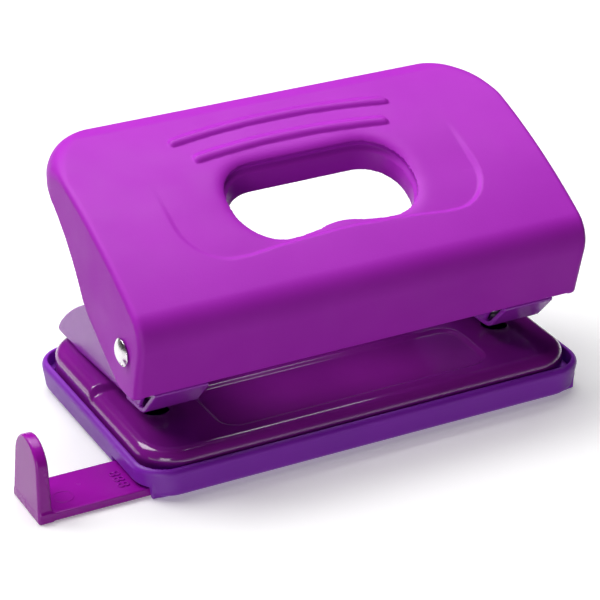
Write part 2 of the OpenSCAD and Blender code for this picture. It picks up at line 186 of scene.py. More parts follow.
def net(field, low, high, step):
    """Points and four-sided faces of the field's surface, one point in each grid cell it crosses."""
    axes = [np.arange(a - 2 * step, b + 3 * step, step) for a, b in zip(low, high, strict=True)]
    shape = tuple(len(a) for a in axes)
    grid = field(axes[0][:, None, None], axes[1][None, :, None], axes[2][None, None, :])
    grid = np.broadcast_to(grid, shape)
    inside = grid < 0
    cells = tuple(n - 1 for n in shape)
    count = np.zeros(cells, np.int8)
    for i, j, k in CORNERS:
        count += inside[i : i + cells[0], j : j + cells[1], k : k + cells[2]]
    crossed = np.argwhere((count > 0) & (count < 8))
    values = np.stack([grid[tuple((crossed + c).T)] for c in CORNERS], 1)
    places = np.zeros((len(crossed), 3))
    hits = np.zeros(len(crossed))
    for a, b in CELL_EDGES:
        meets = (values[:, a] < 0) != (values[:, b] < 0)
        rise = np.where(meets, values[:, a] - values[:, b], 1)
        t = np.where(meets, values[:, a] / rise, 0)[:, None]
        spot = np.array(CORNERS[a]) * (1 - t) + np.array(CORNERS[b]) * t
        places += spot * meets[:, None]
        hits += meets
    origin = np.array([a[0] for a in axes])
    points = origin + step * (crossed + places / hits[:, None])
    index = np.full(cells, -1, np.int64)
    index[tuple(crossed.T)] = np.arange(len(crossed))
    faces = []
    for axis in range(3):
        ahead = np.moveaxis(inside, axis, 0)
        change = ahead[1:].astype(np.int8) - ahead[:-1]
        lines = np.argwhere(np.moveaxis(change, 0, axis))
        turn = np.moveaxis(change, 0, axis)[tuple(lines.T)]
        side_a, side_b = ((np.arange(3) == (axis + n) % 3).astype(int) for n in (1, 2))
        ring = [lines - side_a - side_b, lines - side_b, lines, lines - side_a]
        quads = np.stack([index[tuple(p.T)] for p in ring], 1)
        faces.append(np.where(turn[:, None] > 0, quads[:, ::-1], quads))
    return points, np.concatenate(faces)


def even_out(points, faces):
    """Each point moved half-way to the average of its neighbours along the faces' sides."""
    total = np.zeros_like(points)
    number = np.zeros(len(points))
    for a, b in ((0, 1), (1, 2), (2, 3), (3, 0)):
        for p, q in ((faces[:, a], faces[:, b]), (faces[:, b], faces[:, a])):
            number += np.bincount(p, minlength=len(points))
            for axis in range(3):
                total[:, axis] += np.bincount(p, points[q, axis], len(points))
    return (points + total / number[:, None]) / 2


def spots_of(mesh):
    """The places of a mesh's points, in metres."""
    spots = np.empty(3 * len(mesh.vertices))
    mesh.vertices.foreach_get("co", spots)
    return spots.reshape(-1, 3)


def sculpt(name, field, low, high, step, keep):
    """A mesh object of the field's surface, thinned to a share of its faces, with true normals."""
    points, faces = net(field, low, high, step)
    for _ in range(SETTLE_ROUNDS):
        points = settle(field, even_out(points, faces), step / 2)
    points = settle(field, points, step / 2)
    mesh = bpy.data.meshes.new(name)
    mesh.from_pydata(points * MM, [], faces.tolist())
    piece = bpy.data.objects.new(name, mesh)
    bpy.context.scene.collection.objects.link(piece)
    thin = piece.modifiers.new("thin", "DECIMATE")
    thin.ratio = keep
    depsgraph = bpy.context.evaluated_depsgraph_get()
    thinned = bpy.data.meshes.new_from_object(piece.evaluated_get(depsgraph))
    piece.modifiers.clear()
    piece.data = thinned
    bpy.data.meshes.remove(mesh)
    mesh = thinned
    mesh.name = name
    spots = settle(field, spots_of(mesh) / MM, step / 2)
    mesh.vertices.foreach_set("co", (spots * MM).ravel())
    mesh.shade_smooth()
    mesh.update()
    normals = gradient(field, spots)
    normals /= np.maximum(np.linalg.norm(normals, axis=1), 1e-9)[:, None]
    mesh.normals_split_custom_set_from_vertices(normals)
    return piece


# ---------------------------------------------------------------- sizes from the frame


def span(node):
    """Lowest and highest corner of a CAD node, in millimetres."""
    low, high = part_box(node)
    return np.array(low) / MM, np.array(high) / MM


tray_high = span("chip_tray")[1]
plate_low, plate_high = span("base_plate")
handle_high = span("handle")[1]
guide_low, guide_high = span("paper_guide")
bracket_low, bracket_high = span("right_bracket")
pin_low, pin_high = span("right_punch_pin")
ring_low, ring_high = span("right_retaining_ring")
bush_low, bush_high = span("right_guide_bush")
rivet_low, rivet_high = span("right_pivot_rivet")
washer_low, washer_high = span("right_pivot_washer")
tail_low, tail_high = span("bracket_rivets")

pin_x, pin_y = (pin_low[:2] + pin_high[:2]) / 2
pin_r = (pin_high[0] - pin_low[0]) / 2
press_joint = next(j for j in frame["joints"] if j["name"] == "handle_press")
pivot_y, pivot_z = (c / MM for c in press_joint["pos_m"][1:])
half_press = math.radians(press_joint["range_deg"][1] / 2)
ear_outer = bracket_high[0]
bracket_half = (bracket_high[0] - bracket_low[0]) / 2
ring_r = (ring_high[0] - ring_low[0]) / 2
bush_r = 3.4
bush_flange_r = (bush_high[0] - bush_low[0]) / 2
rivet_shank = 2.0
spring_seat = 14.6


# ---------------------------------------------------------------- handle

HANDLE_WALL = 2.2
HANDLE_FOLD = 7
CROWN_R = 143
CROWN_CENTER = (51.5, -82.14)
FOLD_Y = -19.7
WALL_LEAN = math.radians(14)
WALL_FOOT = 21
LIP_Z = 49.4
CORNER_R = 12.2
SIDE_EDGE = 1.4
BACK_EDGE = 6
RIM_EDGE = 0.6
EDGE_CHANGE = {"from": 8, "over": 14}
OPENING = {"front": -13.4, "back": 4.3, "half_x": 19.9, "corner": 8.2, "bump": 1.5, "bump_half": 6}
OPENING_LIP = 4.6
COLLAR_LIP = 1.2
COLLAR_WALL = 1.8
COLLAR_DEPTH = 7
COLLAR_TOP = 1.9
COLLAR_FILLET = 0.8
LIP_CHANGE = 4
BUMP_FADE = 8
SCOOP = {"half_x": 35, "front": -17.6, "corner": 10, "bow": 1.4, "bow_half": 22, "depth": 0.7}
SCOOP_CREASE = 1.4
SCOOP_FADE = {"back": 5, "over": 14, "left": -32, "left_over": 20, "left_share": 0.35}
GRIPS = (
    {"x": -0.3, "y": 15.1, "half": 24.3, "bow_r": 150},
    {"x": -0.5, "y": 8.9, "half": 21.3, "bow_r": 145},
)
GRIP_R = 1.25
GRIP_SINK = 0.5
GRIP_FILLET = {"front": 0.2, "back": 0.9, "over": 2}

handle_half = handle_high[0]
back_y = handle_high[1]
fold_center = np.array(
    [
        FOLD_Y,
        CROWN_CENTER[1]
        + math.sqrt((CROWN_R - HANDLE_FOLD) ** 2 - (FOLD_Y - CROWN_CENTER[0]) ** 2),
    ]
)
wall_normal = np.array([-math.cos(WALL_LEAN), -math.sin(WALL_LEAN)])
crown_normal = (fold_center - CROWN_CENTER) / (CROWN_R - HANDLE_FOLD)


def crown(y, z):
    """Distance above the handle's crowned top."""
    return np.hypot(y - CROWN_CENTER[0], z - CROWN_CENTER[1]) - CROWN_R


def handle_side(y, z):
    """Crown, fold and leaning front wall of the handle, seen from the side."""
    dy, dz = y - fold_center[0], z - fold_center[1]
    wall = dy * wall_normal[0] + dz * wall_normal[1] - HANDLE_FOLD
    past_wall = dy * wall_normal[1] - dz * wall_normal[0] > 0
    past_crown = dy * crown_normal[1] - dz * crown_normal[0] < 0
    in_fold = past_wall & past_crown
    return np.where(in_fold, np.hypot(dy, dz) - HANDLE_FOLD, np.maximum(crown(y, z), wall))


def handle_plan(x, y):
    """Sides and round back corners of the handle, seen from above."""
    depth = 4 * back_y
    return rectangle(x, y - back_y + depth, handle_half, depth, CORNER_R)


def opening(x, y):
    """The finger opening's outline, with a low bump in the middle of its front edge."""
    o = OPENING
    half_y = (o["back"] - o["front"]) / 2
    bump = o["bump"] * np.exp(-((x / o["bump_half"]) ** 2)) * smooth(-y / BUMP_FADE)
    return rectangle(x, y - bump - o["front"] - half_y, o["half_x"], half_y, o["corner"])


def scoop(x, y):
    """Depth of the dished thumb area in front of and beside the opening."""
    s = SCOOP
    shift = np.maximum(s["bow"] * (1 - (x / s["bow_half"]) ** 2), 0)
    half_y = 30
    edge = rectangle(x, y - shift - s["front"] - half_y, s["half_x"], half_y, s["corner"])
    f = SCOOP_FADE
    from_left = smooth((x - f["left"]) / f["left_over"])
    fade = smooth((f["back"] - y) / f["over"]) * (f["left_share"] + (1 - f["left_share"]) * from_left)
    return s["depth"] * fade * smooth(-edge / SCOOP_CREASE)


def cheek_edge():
    """Side view of what the handle keeps: all above the cheeks' curved lower edge."""
    hip, knee, toe = (19, LIP_Z), (1.3, 31.6), (-14.5, 20.8)
    lowest = fold_center + HANDLE_FOLD * wall_normal
    heel = (lowest[0] + (lowest[1] - WALL_FOOT) * math.tan(WALL_LEAN), WALL_FOOT)
    far = 90
    return outline(
        [(far, LIP_Z), hip]
        + curve(hip, (11.3, 45), (5.8, 39.4), knee)
        + curve(knee, (0, 29.4), (-8, 24.6), toe)
        + curve(toe, (-16.5, 19.7), (-21.5, 19.7), heel)
        + [(-far, WALL_FOOT), (-far, far), (far, far)]
    )


above_cheek_edge = cheek_edge()


def pad_frame(y, z):
    """Distances along and across the line from the pivot through the press pads."""
    dy, dz = y - pivot_y, z - pivot_z
    c, s = math.cos(half_press), math.sin(half_press)
    return dy * c + dz * s, dz * c - dy * s


PAD_NEAR, PAD_FAR = 5.3, 14.7
PAD_GAP, PAD_SHEET, PAD_WIDTH = 0.12, 1.2, 8
PRESS_RIB = 1.6
BOSS_R = 4.2
BOSS_GAP = 0.3
BOSS_FILLET = 0.5
RIB_FILLET = 0.4
PIVOT_PLAY = 0.05


def press_ribs(x, y, z):
    """Ribs inside the handle that carry the press pads."""
    along, across = pad_frame(y, z)
    u = np.abs(x) - pin_x
    side = np.abs(np.abs(u) - (PAD_WIDTH - PRESS_RIB) / 2) - PRESS_RIB / 2
    side = np.maximum(side, slab(along, PAD_NEAR, PAD_FAR))
    middle = np.abs(along - (PAD_NEAR + PAD_FAR) / 2) - PRESS_RIB / 2
    middle = np.maximum(middle, np.abs(u) - PAD_WIDTH / 2)
    ribs = np.maximum(np.minimum(side, middle), pin_r + PAD_GAP + PAD_SHEET - across)
    return np.maximum(ribs, handle_side(y, z) + 1)


def grip(x, y, z, rib):
    """One of the bowed ribs on top of the handle."""
    middle = rib["y"] - (x - rib["x"]) ** 2 / (2 * rib["bow_r"])
    off = np.hypot(np.maximum(np.abs(x - rib["x"]) - rib["half"], 0), y - middle)
    return np.hypot(off, crown(y, z) + GRIP_SINK) - GRIP_R


def handle_field(x, y, z):
    side, plan = handle_side(y, z), handle_plan(x, y)
    change = smooth((y - EDGE_CHANGE["from"]) / EDGE_CHANGE["over"])
    edge_r = SIDE_EDGE + (BACK_EDGE - SIDE_EDGE) * change
    outer = round_and(side + scoop(x, y), plan, edge_r)
    hollow = np.maximum(side, plan) + HANDLE_WALL
    body = np.maximum(outer, -hollow)
    depth = crown(y, z)
    hole = opening(x, y)
    collar = np.maximum(slab(hole, -1, COLLAR_WALL), slab(depth, -COLLAR_DEPTH, -COLLAR_TOP))
    body = round_or(body, collar, COLLAR_FILLET)
    near_top = smooth((depth + 0.8 * COLLAR_DEPTH) / LIP_CHANGE)
    lip = COLLAR_LIP + (OPENING_LIP - COLLAR_LIP) * near_top
    body = soft_and(body, -hole, lip)
    axis = np.hypot(y - pivot_y, z - pivot_z)
    inner_end, outer_end = ear_outer + BOSS_GAP, handle_half - HANDLE_WALL / 2
    boss = np.maximum(axis - BOSS_R, slab(np.abs(x), inner_end, outer_end))
    body = round_or(body, boss, BOSS_FILLET)
    body = round_or(body, press_ribs(x, y, z), RIB_FILLET)
    level = np.maximum(np.abs(x) - handle_half + HANDLE_WALL, z - WALL_FOOT)
    body = round_cut(body, level, 0.4)
    body = round_and(body, above_cheek_edge(y, z), RIM_EDGE)
    for rib in GRIPS:
        behind = smooth((y - rib["y"] + 1.5) / GRIP_FILLET["over"])
        fillet = GRIP_FILLET["front"] + (GRIP_FILLET["back"] - GRIP_FILLET["front"]) * behind
        body = round_or(body, grip(x, y, z, rib), fillet)
    bore = np.maximum(axis - (rivet_shank + PIVOT_PLAY), ear_outer - np.abs(x))
    return round_cut(body, bore, 0.2)



# ---------------------------------------------------------------- chip tray

TRAY_CORNER = 7.5
TRAY_DRAFT = 0.8
TRAY_WALL = 1.5
TRAY_FLOOR = 1.2
LEDGE_Z = 3.7
LEDGE_WALL = 2.7
RIM_R = 1.5
FOOT_R = 1.7
STRIP_TOP = 1.7
STRIP_RIM = 0.3
STRIP_DRAFT = 0.3
STRIP_PLAY = 0.3
ROOF_MARGIN = 1.4
ROOF_INSET = 2.5
CHANNEL_EDGE = 0.6

tray_half = tray_high[:2]
tray_height = tray_high[2]
guide_y = (guide_low[1] + guide_high[1]) / 2
guide_half = (guide_high[1] - guide_low[1]) / 2
strip_end = guide_high[0]
slide_joint = next(j for j in frame["joints"] if j["name"] == "guide_slide")
slide_far = slide_joint["range_m"][1] / MM


def strip_section(y, z, play):
    """The guide strip's cross-section, or with play that of its channel."""
    top = STRIP_TOP + STRIP_RIM
    lean = STRIP_DRAFT * (1 - z / top)
    return np.maximum(np.abs(y - guide_y) - guide_half + lean, z - top) - play


def tray_field(x, y, z):
    lean = TRAY_DRAFT * (1 - z / tray_height)
    body = rectangle(x, y, tray_half[0] - lean, tray_half[1] - lean, TRAY_CORNER)
    body = round_and(body, z - tray_height, RIM_R)
    body = round_and(body, -z, FOOT_R)
    inner = tray_half - TRAY_WALL
    pocket = rectangle(x, y, inner[0], inner[1], TRAY_CORNER - TRAY_WALL)
    body = round_cut(body, np.maximum(pocket, LEDGE_Z - z), 0.4)
    inner = tray_half - LEDGE_WALL
    pocket = rectangle(x, y, inner[0], inner[1], TRAY_CORNER - LEDGE_WALL)
    body = round_cut(body, np.maximum(pocket, TRAY_FLOOR - z), 0.3)
    roof = np.abs(y - guide_y) - guide_half - ROOF_MARGIN
    roof = np.maximum(roof, np.abs(x) - tray_half[0] + ROOF_INSET)
    roof = np.maximum(roof, slab(z, 0, LEDGE_Z))
    body = round_or(body, roof, 0.3)
    channel_end = strip_end + slide_far + STRIP_PLAY
    channel = np.maximum(strip_section(y, z, STRIP_PLAY), x - channel_end)
    return round_cut(body, channel, CHANNEL_EDGE)


# ---------------------------------------------------------------- base plate

PLATE_CORNER = 9
PLATE_TOP = 9.3
PLATE_SHEET = 1.0
PLATE_ROLL = 2.5
STOP_Y = 3
STOP_RAMP = 1.6
RECESS = {"half_x": 31.5, "front": -23.3, "back": -5.2, "corner": 5, "depth": 0.6, "slope": 1.3}
JOINT_RIVET = {"y": 21.5, "dx": 2.4, "r": 1.5}

rear_top = plate_high[2]


def plate_height(x, y):
    """Height of the plate's top, with its raised rear part and its recess."""
    r = RECESS
    half_y = (r["back"] - r["front"]) / 2
    inside = -rectangle(x, y - r["front"] - half_y, r["half_x"], half_y, r["corner"])
    step = (rear_top - PLATE_TOP) * smooth((y - STOP_Y + STOP_RAMP) / STOP_RAMP)
    return PLATE_TOP + step - r["depth"] * smooth(inside / r["slope"])


def pressed_plate(x, y, z, inset):
    half = plate_high[:2] - inset
    plan = rectangle(x, y, half[0], half[1], PLATE_CORNER - inset)
    return round_and(z - plate_height(x, y) + inset, plan, PLATE_ROLL - inset)


def plate_field(x, y, z):
    body = np.maximum(pressed_plate(x, y, z, 0), -pressed_plate(x, y, z, PLATE_SHEET))
    body = round_cut(body, z - plate_low[2], 0.3)
    u = np.abs(x) - pin_x
    die = np.hypot(u, y - pin_y) - pin_r - 0.08
    body = round_cut(body, die, 0.25)
    hole = np.hypot(np.abs(u) - JOINT_RIVET["dx"], y - JOINT_RIVET["y"]) - JOINT_RIVET["r"]
    return np.maximum(body, -hole)


# ---------------------------------------------------------------- brackets

SHEET = 1.0
BEND_R = 1.5
FOLD = (-16, 13)
FLAT_Y = 17
FLARE_TIP = (-22, 19.7)
EAR_FRONT_Y = -13.5
EAR_END_Y = 27.2
EAR_BOSS_R = 4.2
web_slope = (FOLD[1] - rear_top) / (FLAT_Y - FOLD[0])
web_turn = math.atan(web_slope)


def web_z(y):
    """Height of the underside of a bracket's web."""
    return np.maximum(rear_top, FOLD[1] - web_slope * (y - FOLD[0]))


def ear_outline():
    end_r = 1.5
    front = (EAR_FRONT_Y, float(web_z(EAR_FRONT_Y)))
    return outline(
        [front, (FLAT_Y, rear_top)]
        + arc((EAR_END_Y - end_r, rear_top + end_r), end_r, -90, 0, 8)
        + curve((EAR_END_Y, 12.2), (26.3, 14.6), (17, 23.2), (6, 27), 24)
        + arc((pivot_y, pivot_z), EAR_BOSS_R, 72.5, 212, 24)
    )


in_ear = ear_outline()


def bracket_field(s):
    """Field of the bracket on one side: a U of sheet with a flared flange in front."""

    def field(x, y, z):
        u = np.abs(x - s * pin_x)
        up = (z - web_z(y)) * math.cos(web_turn)
        outside = round_and(u - bracket_half, -up, BEND_R)
        sheet = np.maximum(outside, -outside - SHEET)
        body = round_and(sheet, in_ear(y, z), 0.3)
        half = SHEET / 2
        fold = (FOLD[0], FOLD[1] + half)
        back_y = -8
        heel = (back_y, float(web_z(back_y)) + half)
        soft = 1.2
        aft = np.subtract(heel, fold) / math.dist(heel, fold)
        fore = np.subtract(FLARE_TIP, FOLD) / math.dist(FLARE_TIP, FOLD)
        bend = [fold + soft * aft, fold + soft * 0.3 * (aft + fore), fold + soft * fore]
        tip = fold + fore * (math.dist(FLARE_TIP, FOLD) - half)
        flange = path_distance(y, z, [heel, *bend, tip]) - half
        flange = round_and(flange, u - bracket_half, 0.25)
        body = np.minimum(body, np.maximum(flange, y - back_y))
        bush = np.hypot(u, y - pin_y) - bush_r
        body = round_cut(body, bush, 0.1)
        hole = np.hypot(u - JOINT_RIVET["dx"], y - JOINT_RIVET["y"]) - JOINT_RIVET["r"]
        body = np.maximum(body, -hole)
        pivot = np.hypot(y - pivot_y, z - pivot_z) - rivet_shank
        return np.maximum(body, -np.maximum(pivot, pin_x - s * x))

    return field



# ---------------------------------------------------------------- paper guide

POST_ARCH = 5.75
GUIDE_EDGE = 0.6
RIM_WIDTH = 1.2
POST_FOOT = 3.0
POST_DRAFT = 0.6

post_x0, post_x1 = guide_low[0], guide_low[0] + POST_FOOT
post_top = guide_high[2] - 0.1
post_outline = outline(
    [(guide_y - guide_half, 0), (guide_y + guide_half, 0)]
    + arc((guide_y, post_top - POST_ARCH), POST_ARCH, 10, 170, 28)
)


def guide_field(x, y, z):
    strip = round_and(strip_section(y, z, 0), -z, 0.2)
    dip = np.maximum(STRIP_TOP - z, guide_y - guide_half + RIM_WIDTH - y)
    strip = round_cut(strip, dip, 0.2)
    strip = round_and(strip, slab(x, post_x0 + 0.5, strip_end), 0.3)
    lean = POST_DRAFT * z / post_top
    post = round_and(post_outline(y, z), slab(x, post_x0 + lean, post_x1), GUIDE_EDGE)
    return np.maximum(round_or(strip, post, 0.8), -z)


# ---------------------------------------------------------------- turned and small pieces

TIP_HOLLOW = 5
TIP_DEPTH = 0.8
GROOVE_R = 2.1
GROOVE_WIDTH = 0.9
RING_SLOT = 3
WIRE_R = 0.4
COIL_R = 4.0
COIL_TURNS = 6.5
RIVET_HEAD_R = 3.1
RIVET_HEAD_H = 1.2
TAIL_R = 2.9
TAIL_H = 0.8
WASHER_R = 3.8

pin_head_z = pin_high[2] - pin_r
groove_z = ring_low[2] - (GROOVE_WIDTH - (ring_high[2] - ring_low[2])) / 2


def about_pin(s, x, y):
    """Distance from the axis of the punch pin on one side."""
    return np.hypot(x - s * pin_x, y - pin_y)


def pin_field(s):
    def field(x, y, z):
        off = about_pin(s, x, y)
        dome = np.hypot(off, np.maximum(z - pin_head_z, 0)) - pin_r
        body = round_cut(dome, z - pin_low[2], 0.05)
        hollow = np.hypot(y - pin_y, z - pin_low[2] + TIP_HOLLOW - TIP_DEPTH) - TIP_HOLLOW
        groove = np.maximum(GROOVE_R - off, slab(z, groove_z, groove_z + GROOVE_WIDTH))
        return round_cut(round_cut(body, hollow, 0.05), groove, 0.1)

    return field


def bush_field(s):
    def field(x, y, z):
        off = about_pin(s, x, y)
        sleeve = round_and(off - bush_r, z - bush_high[2], 0.4)
        flange = round_and(off - bush_flange_r, z - spring_seat, 0.3)
        over_web = (web_z(y) + SHEET - z) * math.cos(web_turn)
        body = np.minimum(sleeve, np.maximum(flange, over_web))
        body = np.maximum(body, (web_z(y) - z) * math.cos(web_turn))
        return round_cut(body, off - pin_r - 0.05, 0.2)

    return field


def ring_field(s):
    def field(x, y, z):
        off = about_pin(s, x, y)
        body = round_and(off - ring_r, slab(z, ring_low[2], ring_high[2]), 0.15)
        body = round_cut(body, off - GROOVE_R - 0.02, 0.1)
        slot = np.maximum(np.abs(x - s * pin_x) - RING_SLOT / 2, y - pin_y)
        return round_cut(body, slot, 0.15)

    return field


def rivet_field(s):
    """Domed head outside the handle with a small sprue notch, and a peened tail."""
    head_x = rivet_high[0] - RIVET_HEAD_H
    dome_r = (RIVET_HEAD_R**2 + RIVET_HEAD_H**2) / (2 * RIVET_HEAD_H)

    def field(x, y, z):
        out = s * x
        off = np.hypot(y - pivot_y, z - pivot_z)
        dome = np.hypot(off, out - rivet_high[0] + dome_r) - dome_r
        head = round_and(dome, np.maximum(head_x - out, off - RIVET_HEAD_R + 0.05), 0.25)
        shank = np.maximum(off - rivet_shank, slab(out, rivet_low[0], head_x + 0.3))
        tail = round_and(off - TAIL_R, slab(out, rivet_low[0], rivet_low[0] + TAIL_H), 0.35)
        body = np.minimum(np.minimum(head, tail), shank)
        notch = np.hypot(y - pivot_y + 1.0, z - pivot_z + 2.1)
        notch = np.hypot(notch, (out - head_x - 0.75) / 1.5) - 0.45
        return round_cut(body, notch, 0.1)

    return field


def washer_field(s):
    def field(x, y, z):
        off = np.hypot(y - pivot_y, z - pivot_z)
        disc = round_and(off - WASHER_R, slab(s * x, washer_low[0], washer_high[0]), 0.12)
        return np.maximum(disc, rivet_shank - off)

    return field


def pad_field(s):
    def field(x, y, z):
        along, across = pad_frame(y, z)
        low = pin_r + PAD_GAP
        plan = rectangle(x - s * pin_x, along - (PAD_NEAR + PAD_FAR) / 2, PAD_WIDTH / 2,
                         (PAD_FAR - PAD_NEAR) / 2, 0.8)
        return round_and(plan, slab(across, low, low + PAD_SHEET), 0.2)

    return field


def joint_rivet_field(x, y, z):
    """The four rivets that hold the brackets, as one field."""
    off = np.hypot(np.abs(np.abs(x) - pin_x) - JOINT_RIVET["dx"], y - JOINT_RIVET["y"])
    low, high = tail_low[2], tail_high[2]
    head_h, head_r = 0.8, 2.1
    shank = np.maximum(off - JOINT_RIVET["r"], slab(z, low, high))
    ball_r = (head_r**2 + head_h**2) / (2 * head_h)
    upper = np.hypot(off, z - high + ball_r) - ball_r
    upper = np.maximum(upper, high - head_h - z)
    lower = round_and(off - head_r, slab(z, low, low + head_h), 0.3)
    return np.minimum(np.minimum(upper, lower), shank)


def spring_mesh(name, s):
    """A coil of round wire between the bush's flange and the ring, with closed end turns."""
    low = spring_seat + WIRE_R + 0.05
    high = groove_z - WIRE_R - 0.05
    steps_per_turn, around = 48, 14
    end_turns = 0.8
    wire = 2 * WIRE_R
    active_rise = high - low - 2 * end_turns * wire
    verts, faces = [], []
    steps = round(COIL_TURNS * steps_per_turn)
    for i in range(steps + 1):
        turns = i / steps_per_turn
        first, last = min(turns, end_turns), max(0, turns - COIL_TURNS + end_turns)
        active = (turns - first - last) / (COIL_TURNS - 2 * end_turns)
        z = low + wire * (first + last) + active_rise * active
        a = 2 * math.pi * turns
        for k in range(around):
            b = 2 * math.pi * k / around
            r = COIL_R + WIRE_R * math.cos(b)
            verts.append(((s * pin_x + r * math.cos(a)) * MM, (pin_y + r * math.sin(a)) * MM,
                          (z + WIRE_R * math.sin(b)) * MM))
    for i in range(steps):
        for k in range(around):
            n = (k + 1) % around
            faces.append((i * around + k, (i + 1) * around + k, (i + 1) * around + n, i * around + n))
    faces.append(tuple(range(around)))
    faces.append(tuple(steps * around + k for k in reversed(range(around))))
    mesh = bpy.data.meshes.new(name)
    mesh.from_pydata(verts, [], faces)
    mesh.shade_smooth()
    mesh.update()
    piece = bpy.data.objects.new(name, mesh)
    bpy.context.scene.collection.objects.link(piece)
    return piece


MARK_X = -52.9
FIGURES_Y = (-17.2, -19.45, -21.7)
FIGURE_RING = {"r": 0.5, "lobe": 0.53, "widen": 1.3, "stroke": 0.14, "height": 0.2}
MARK_MARGIN = {"below": 0.3, "above": 0.2}
GATE = (-65.2, -20.4)
GATE_RING = {"r": 2, "stroke": 0.13, "height": 0.08}


def raised(stroke, z, height):
    """A stroke of round section that stands on the guide's strip."""
    return np.maximum(round_and(stroke, z - STRIP_TOP - height, 0.06), STRIP_TOP - 0.2 - z)


def numeral_field(x, y, z):
    """Raised setting number on the guide's strip: three figures of two rings each."""
    f = FIGURE_RING
    stroke = np.inf
    for middle in FIGURES_Y:
        for lobe in (-f["lobe"], f["lobe"]):
            ring = np.hypot(x - MARK_X - lobe, (y - middle) / f["widen"]) - f["r"]
            stroke = np.minimum(stroke, np.abs(ring) - f["stroke"])
    return raised(stroke, z, f["height"])


def gate_field(x, y, z):
    """Faint round gate mark next to the guide's post."""
    ring = np.abs(np.hypot(x - GATE[0], y - GATE[1]) - GATE_RING["r"]) - GATE_RING["stroke"]
    return raised(ring, z, GATE_RING["height"])


# ---------------------------------------------------------------- materials


class Nodes:
    """Short calls for building one material's node tree."""

    def __init__(self, name):
        self.material = bpy.data.materials.new(name)
        self.material.use_nodes = True
        self.tree = self.material.node_tree
        self.shader = self.tree.nodes["Principled BSDF"]
        self.place = self.tree.nodes.new("ShaderNodeTexCoord").outputs["Object"]

    def link(self, output, socket):
        self.tree.links.new(output, socket)

    def noise(self, scale, detail=4, stretch=None):
        """Noise with grains of about 1 / scale metres, stretched along an axis if asked."""
        node = self.tree.nodes.new("ShaderNodeTexNoise")
        node.inputs["Scale"].default_value = scale
        node.inputs["Detail"].default_value = detail
        place = self.place
        if stretch:
            mapping = self.tree.nodes.new("ShaderNodeMapping")
            mapping.inputs["Scale"].default_value = stretch
            self.link(place, mapping.inputs["Vector"])
            place = mapping.outputs["Vector"]
        self.link(place, node.inputs["Vector"])
        return node.outputs["Fac"]

    def spread(self, value, low, high, start=0.3, end=0.7):
        """Maps a value from start..end to low..high."""
        node = self.tree.nodes.new("ShaderNodeMapRange")
        for key, number in (("From Min", start), ("From Max", end), ("To Min", low), ("To Max", high)):
            node.inputs[key].default_value = number
        self.link(value, node.inputs["Value"])
        return node.outputs["Result"]

    def blend(self, amount, first, second):
        """Mixes two colours by an amount from 0 to 1."""
        node = self.tree.nodes.new("ShaderNodeMix")
        node.data_type = "RGBA"
        self.link(amount, node.inputs["Factor"])
        for socket, color in ((node.inputs["A"], first), (node.inputs["B"], second)):
            if isinstance(color, tuple):
                socket.default_value = (*color, 1)
            else:
                self.link(color, socket)
        return node.outputs["Result"]

    def bump(self, height, strength, distance, under=None):
        node = self.tree.nodes.new("ShaderNodeBump")
        node.inputs["Strength"].default_value = strength
        node.inputs["Distance"].default_value = distance
        self.link(height, node.inputs["Height"])
        if under:
            self.link(under, node.inputs["Normal"])
        self.link(node.outputs["Normal"], self.shader.inputs["Normal"])
        return node.outputs["Normal"]

    def set(self, **values):
        for key, value in values.items():
            self.shader.inputs[key.replace("_", " ")].default_value = value


def moulded(name, color, pale, roughness, grain, grain_depth, specular):
    """Moulded plastic: fine grain, slow changes in gloss and a slight change of colour."""
    n = Nodes(name)
    tone = n.spread(n.noise(55, 3), 0, 1)
    n.link(n.blend(tone, color, pale), n.shader.inputs["Base Color"])
    gloss = n.spread(n.noise(130, 5), roughness - 0.05, roughness + 0.05)
    n.link(gloss, n.shader.inputs["Roughness"])
    waves = n.bump(n.noise(90, 2), 0.06, 0.0006)
    n.bump(n.noise(grain, 3), 0.35, grain_depth, waves)
    n.set(Specular_IOR_Level=specular)
    return n.material


def enamel(name, color, pale, roughness, coat=0.5):
    """Glossy enamel on pressed steel: orange peel under a clear, slightly uneven gloss."""
    n = Nodes(name)
    tone = n.spread(n.noise(70, 4), 0, 1)
    n.link(n.blend(tone, color, pale), n.shader.inputs["Base Color"])
    gloss = n.spread(n.noise(160, 4), roughness - 0.03, roughness + 0.04)
    n.link(gloss, n.shader.inputs["Roughness"])
    peel = n.bump(n.noise(420, 2), 0.10, 0.0004)
    n.bump(n.noise(1900, 3), 0.08, 0.0001, peel)
    n.set(Coat_Weight=coat, Coat_Roughness=0.06, Specular_IOR_Level=0.5)
    return n.material


def steel(name, color, dark, roughness, stretch, grain=900):
    """Bare or plated steel with fine marks along one direction and faint stains."""
    n = Nodes(name)
    marks = n.noise(grain, 4, stretch)
    stain = n.spread(n.noise(240, 5), 0, 1, 0.35, 0.75)
    n.link(n.blend(stain, color, dark), n.shader.inputs["Base Color"])
    n.link(n.spread(marks, roughness - 0.07, roughness + 0.1), n.shader.inputs["Roughness"])
    n.bump(marks, 0.15, 0.00008)
    n.set(Metallic=1.0)
    return n.material


